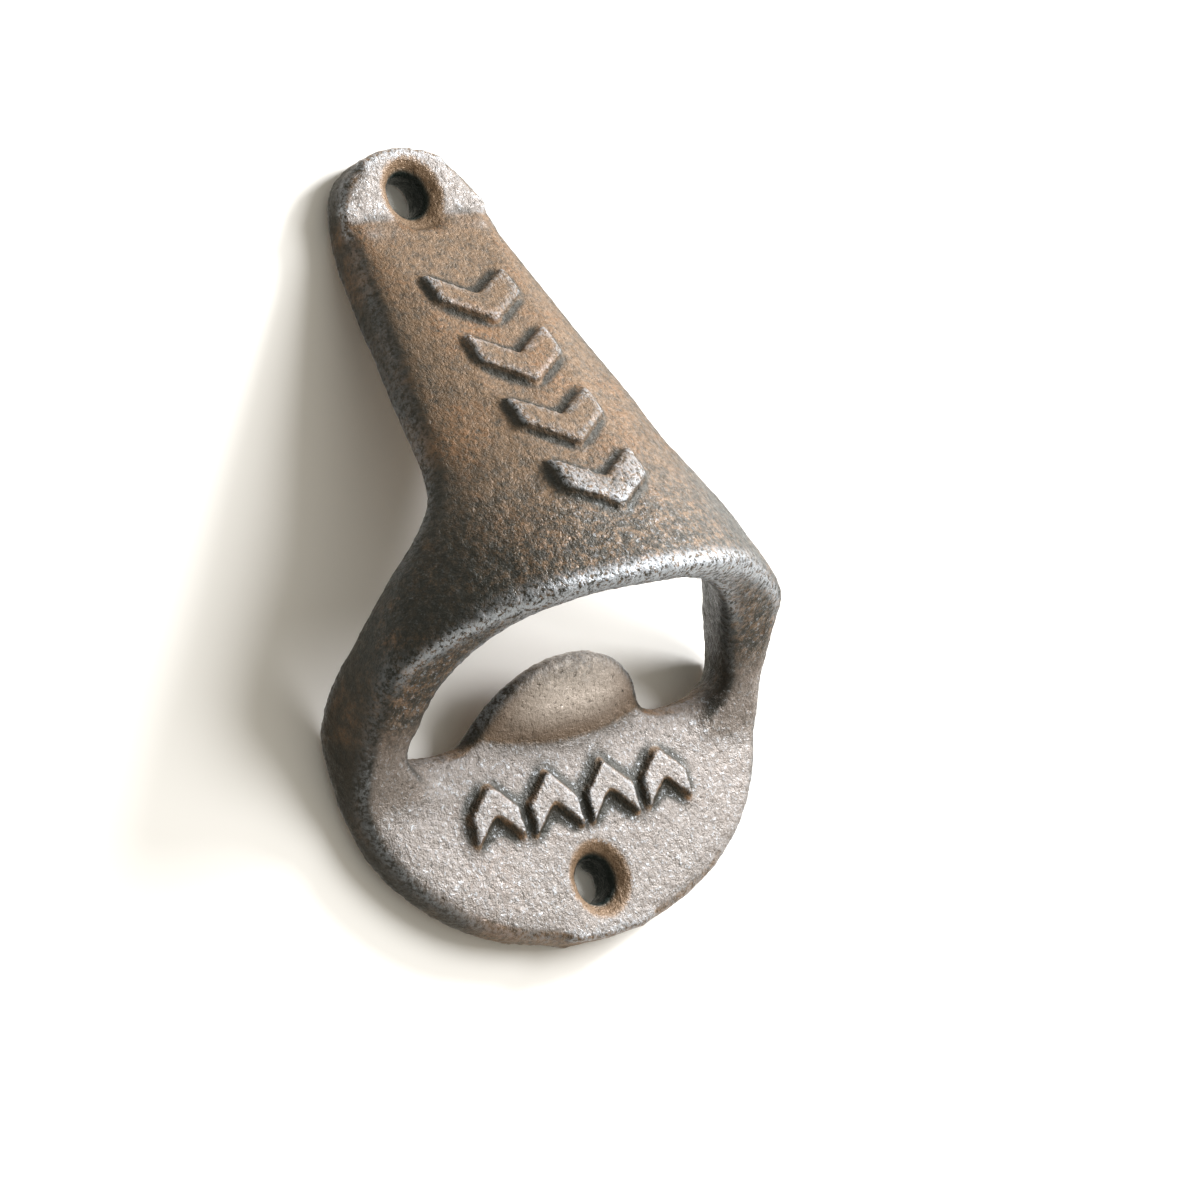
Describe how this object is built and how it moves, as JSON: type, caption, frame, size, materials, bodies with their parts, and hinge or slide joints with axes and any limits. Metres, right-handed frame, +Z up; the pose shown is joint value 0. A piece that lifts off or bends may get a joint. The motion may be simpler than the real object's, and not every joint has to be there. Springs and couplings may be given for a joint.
{
  "type": "wall-mounted bottle opener",
  "caption": "Cast-iron wall-mounted bottle opener with an arched hood, a tooth for crown caps and countersunk screw holes.",
  "frame": {"origin": "midway between the two screw holes, on the flat back that meets the wall", "axes": "+Z up the wall towards the tab, -Y straight out of the wall towards the user, +X to the user's right"},
  "size_m": [0.07, 0.0334, 0.108],
  "materials": {
    "cast_iron": "rough sand-cast skin, browned, with a dull sheen on the high places"
  },
  "bodies": {
    "root": {"opener_casting": "cast_iron"}
  },
  "joints": []
}
